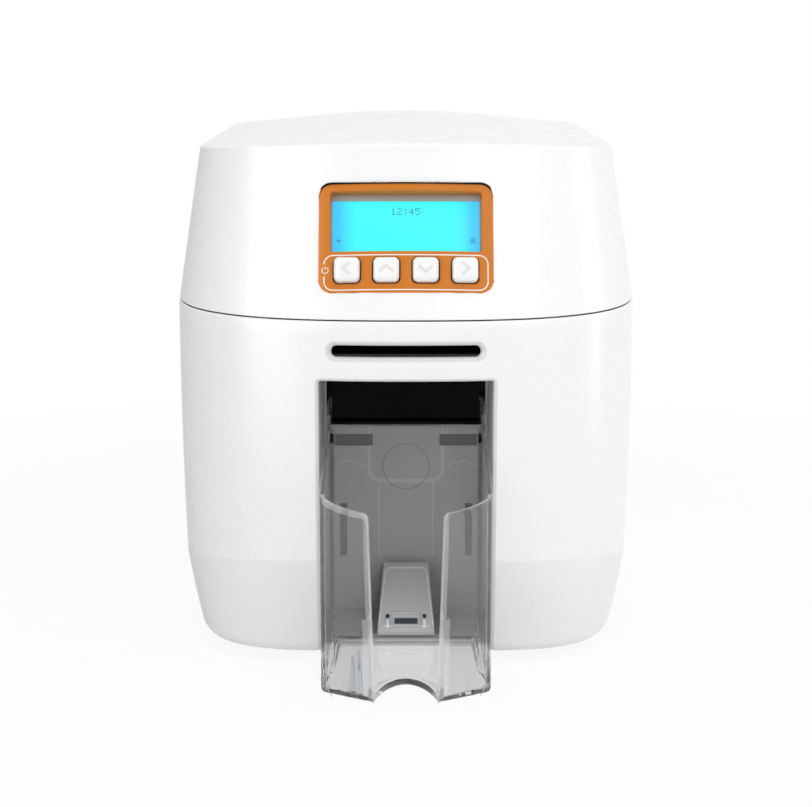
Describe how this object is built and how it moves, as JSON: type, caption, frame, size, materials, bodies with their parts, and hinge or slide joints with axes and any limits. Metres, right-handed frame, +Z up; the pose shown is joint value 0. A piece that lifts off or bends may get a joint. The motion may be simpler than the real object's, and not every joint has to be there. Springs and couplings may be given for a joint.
{
  "type": "id card printer",
  "caption": "Desktop card printer: white casing with hinged lid, sloping orange control panel, hand-feed slot and a clear slide-out card tray.",
  "frame": {"origin": "on the table under the middle of the outline, tray included", "axes": "+Z up, the front with the tray and the panel faces -Y, +X to the right as seen from the front"},
  "size_m": [0.205, 0.336, 0.2305],
  "materials": {
    "casing_white": "satin white moulded plastic",
    "rear_white": "fine grain white plastic",
    "bay_grey": "matt grey plastic",
    "base_grey": "matt grey plastic",
    "black_plastic": "matt black plastic",
    "dark_plastic": "dark grey plastic",
    "foot_rubber": "soft rubber",
    "roller_rubber": "ground roller rubber",
    "sheet_steel": "zinc plated sheet steel",
    "shaft_steel": "ground steel",
    "spring_steel": "bright spring wire",
    "motor_metal": "black motor casing",
    "bush_bronze": "sintered bronze",
    "pinion_brass": "turned brass",
    "gear_white": "natural gear plastic",
    "roller_core": "moulded plastic core",
    "board_green": "green circuit board",
    "socket_steel": "tinned steel shell",
    "head_aluminium": "cast aluminium",
    "film_dark": "glossy dark film",
    "film_colour": "glossy coloured film",
    "clean_blue": "tacky blue rubber",
    "bezel_orange": "orange panel",
    "frame_blue_grey": "grey display surround",
    "display_cyan": "lit display",
    "button_white": "satin white button",
    "tray_clear": "clear smoked plastic",
    "follower_orange": "orange plastic"
  },
  "bodies": {
    "casing": {"lower_housing": "casing_white", "base_plate": "base_grey", "rubber_feet": "foot_rubber", "rear_panel": "rear_white", "tray_bay": "bay_grey", "exit_frame": "black_plastic", "feed_chute": "black_plastic", "chassis_left": "sheet_steel", "chassis_right": "sheet_steel", "card_deck": "dark_plastic", "shaft_bushings": "bush_bronze", "head_bridge": "sheet_steel", "drive_motor": "motor_metal", "film_motor": "motor_metal", "main_board": "board_green", "dc_socket": "black_plastic", "usb_socket": "socket_steel", "network_socket": "socket_steel", "fan_frame": "black_plastic", "hopper_box": "dark_plastic", "hinge_rod": "shaft_steel", "base_screws": "shaft_steel", "pick_belt": "roller_rubber", "film_web": "film_colour", "head_springs": "spring_steel"},
    "lid": {"top_lid": "casing_white", "control_bezel": "bezel_orange", "display_frame": "frame_blue_grey", "lcd_module": "display_cyan", "control_board": "board_green", "control_cover": "dark_plastic"},
    "left_button": {"button_left": "button_white"},
    "up_button": {"button_up": "button_white"},
    "down_button": {"button_down": "button_white"},
    "right_button": {"button_right": "button_white"},
    "tray": {"card_tray": "tray_clear"},
    "catch": {"tray_catch": "bay_grey"},
    "latch": {"latch_bar": "dark_plastic"},
    "exit_drive": {"exit_roller": "roller_core", "exit_tyres": "roller_rubber"},
    "feed_drive": {"feed_roller": "roller_core", "feed_tyres": "roller_rubber"},
    "pick_drive": {"pick_roller": "roller_core", "pick_tyres": "roller_rubber"},
    "platen": {"platen_shaft": "shaft_steel", "platen_rubber": "roller_rubber", "platen_gear": "gear_white"},
    "pinch": {"exit_pinch": "roller_core"},
    "cleaner": {"cleaning_roller": "clean_blue"},
    "front_idler": {"idler_front": "gear_white"},
    "rear_idler": {"idler_rear": "gear_white"},
    "motor_rotor": {"motor_pinion": "pinion_brass"},
    "head": {"head_carriage": "head_aluminium", "printhead": "head_aluminium"},
    "cam": {"cam_shaft": "gear_white"},
    "supply": {"supply_spool": "roller_core", "supply_film": "film_dark"},
    "take_up": {"take_up_spool": "roller_core"},
    "fan": {"fan_rotor": "black_plastic"},
    "follower": {"hopper_follower": "follower_orange"}
  },
  "joints": [
    {"name": "lid_hinge", "type": "hinge", "parent": "casing", "child": "lid", "pos_m": [0, 0.164, 0.157], "axis": [-1, 0, 0], "range_deg": [0, 70]},
    {"name": "left_press", "type": "slide", "parent": "lid", "child": "left_button", "axis": [0, 0.9409, -0.3387], "range_m": [0, 0.0009], "stiffness_N_per_m": 1200, "springref_m": -0.0005},
    {"name": "up_press", "type": "slide", "parent": "lid", "child": "up_button", "axis": [0, 0.9409, -0.3387], "range_m": [0, 0.0009], "stiffness_N_per_m": 1200, "springref_m": -0.0005},
    {"name": "down_press", "type": "slide", "parent": "lid", "child": "down_button", "axis": [0, 0.9409, -0.3387], "range_m": [0, 0.0009], "stiffness_N_per_m": 1200, "springref_m": -0.0005},
    {"name": "right_press", "type": "slide", "parent": "lid", "child": "right_button", "axis": [0, 0.9409, -0.3387], "range_m": [0, 0.0009], "stiffness_N_per_m": 1200, "springref_m": -0.0005},
    {"name": "tray_slide", "type": "slide", "parent": "casing", "child": "tray", "axis": [0, -1, 0], "range_m": [0, 0.12]},
    {"name": "catch_lift", "type": "hinge", "parent": "casing", "child": "catch", "pos_m": [0, -0.061, 0.027], "axis": [-1, 0, 0], "range_deg": [0, 8], "stiffness_Nm_per_rad": 0.05, "springref_deg": -5.73},
    {"name": "latch_turn", "type": "hinge", "parent": "casing", "child": "latch", "pos_m": [0, -0.103, 0.1498], "axis": [-1, 0, 0], "range_deg": [0, 14], "stiffness_Nm_per_rad": 0.1, "springref_deg": -5.73},
    {"name": "motor_spin", "type": "hinge", "parent": "casing", "child": "motor_rotor", "pos_m": [0, 0.00861, 0.08286], "axis": [1, 0, 0], "continuous": true},
    {"name": "rear_idler_spin", "type": "hinge", "parent": "casing", "child": "rear_idler", "pos_m": [0, 0.00861, 0.09886], "axis": [1, 0, 0], "continuous": true},
    {"name": "front_idler_spin", "type": "hinge", "parent": "casing", "child": "front_idler", "pos_m": [0, -0.023, 0.10251], "axis": [1, 0, 0], "continuous": true},
    {"name": "platen_spin", "type": "hinge", "parent": "casing", "child": "platen", "pos_m": [0, 0.024, 0.11], "axis": [1, 0, 0], "continuous": true},
    {"name": "feed_spin", "type": "hinge", "parent": "casing", "child": "feed_drive", "pos_m": [0, -0.006, 0.111], "axis": [1, 0, 0], "continuous": true},
    {"name": "exit_spin", "type": "hinge", "parent": "casing", "child": "exit_drive", "pos_m": [0, -0.04, 0.111], "axis": [1, 0, 0], "continuous": true},
    {"name": "pick_spin", "type": "hinge", "parent": "casing", "child": "pick_drive", "pos_m": [0, 0.098, 0.106], "axis": [1, 0, 0], "continuous": true},
    {"name": "pinch_spin", "type": "hinge", "parent": "casing", "child": "pinch", "pos_m": [0, -0.04, 0.123], "axis": [1, 0, 0], "continuous": true},
    {"name": "cleaner_spin", "type": "hinge", "parent": "casing", "child": "cleaner", "pos_m": [0, 0.05, 0.125], "axis": [1, 0, 0], "continuous": true},
    {"name": "supply_spin", "type": "hinge", "parent": "casing", "child": "supply", "pos_m": [0, 0.054, 0.166], "axis": [1, 0, 0], "continuous": true},
    {"name": "take_up_spin", "type": "hinge", "parent": "casing", "child": "take_up", "pos_m": [0, -0.01, 0.166], "axis": [1, 0, 0], "continuous": true},
    {"name": "cam_turn", "type": "hinge", "parent": "casing", "child": "cam", "pos_m": [0, 0.024, 0.15], "axis": [1, 0, 0], "range_deg": [0, 180]},
    {"name": "head_lift", "type": "slide", "parent": "casing", "child": "head", "axis": [0, 0, 1], "range_m": [0, 0.004], "stiffness_N_per_m": 400, "springref_m": -0.002, "deforming": ["head_springs"]},
    {"name": "fan_spin", "type": "hinge", "parent": "casing", "child": "fan", "pos_m": [0, 0.159, 0.084], "axis": [0, 1, 0], "continuous": true},
    {"name": "follower_slide", "type": "slide", "parent": "casing", "child": "follower", "axis": [0, 0, 1], "range_m": [0, 0.06]}
  ],
  "couplings": [
    {"joint": "rear_idler_spin", "follows": "motor_spin", "ratio": -0.77778},
    {"joint": "feed_spin", "follows": "motor_spin", "ratio": 0.7},
    {"joint": "platen_spin", "follows": "motor_spin", "ratio": 0.7},
    {"joint": "front_idler_spin", "follows": "motor_spin", "ratio": -0.77778},
    {"joint": "exit_spin", "follows": "motor_spin", "ratio": 0.7},
    {"joint": "pick_spin", "follows": "motor_spin", "ratio": 0.7},
    {"joint": "cam_turn", "follows": "head_lift", "rad_per_m": 785.39}
  ]
}
